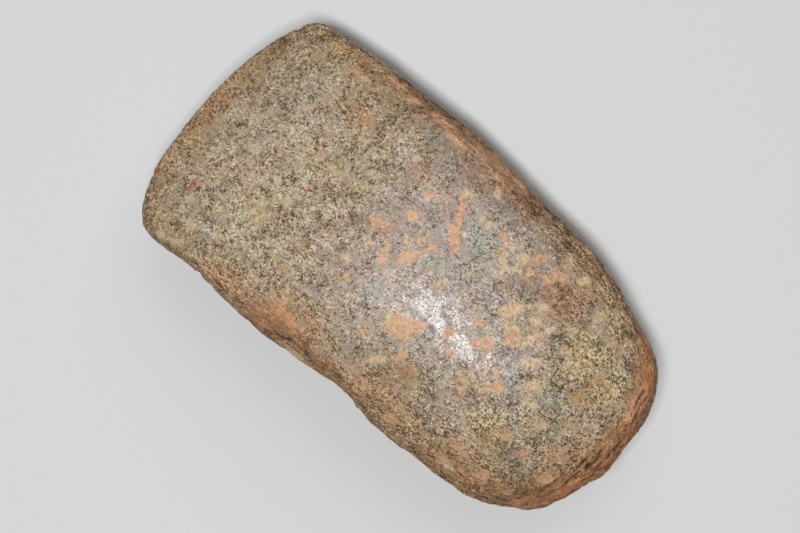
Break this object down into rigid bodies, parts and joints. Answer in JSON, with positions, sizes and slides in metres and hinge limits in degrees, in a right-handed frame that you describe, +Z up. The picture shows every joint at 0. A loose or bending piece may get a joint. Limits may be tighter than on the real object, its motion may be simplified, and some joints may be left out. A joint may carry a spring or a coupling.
{
  "type": "polished stone axe head",
  "caption": "Stocky ground and polished stone axe head with a wide curved cutting edge, swelling faces, pecked sides and a battered blunt butt, lying on one face.",
  "frame": {"origin": "on the surface that the axe head lies on, below the middle of its length and width", "axes": "+X along the axe head to the butt, so the cutting edge is at -X; +Z up through its thickness, from the face it lies on to the face that shows; +Y across its width"},
  "size_m": [0.1246, 0.066, 0.0413],
  "materials": {
    "stone": "speckled beige and olive-grey diorite with ochre patches, low polish on the belly, dull and pecked at the sides and butt"
  },
  "bodies": {
    "root": {"axe_head": "stone"}
  },
  "joints": []
}
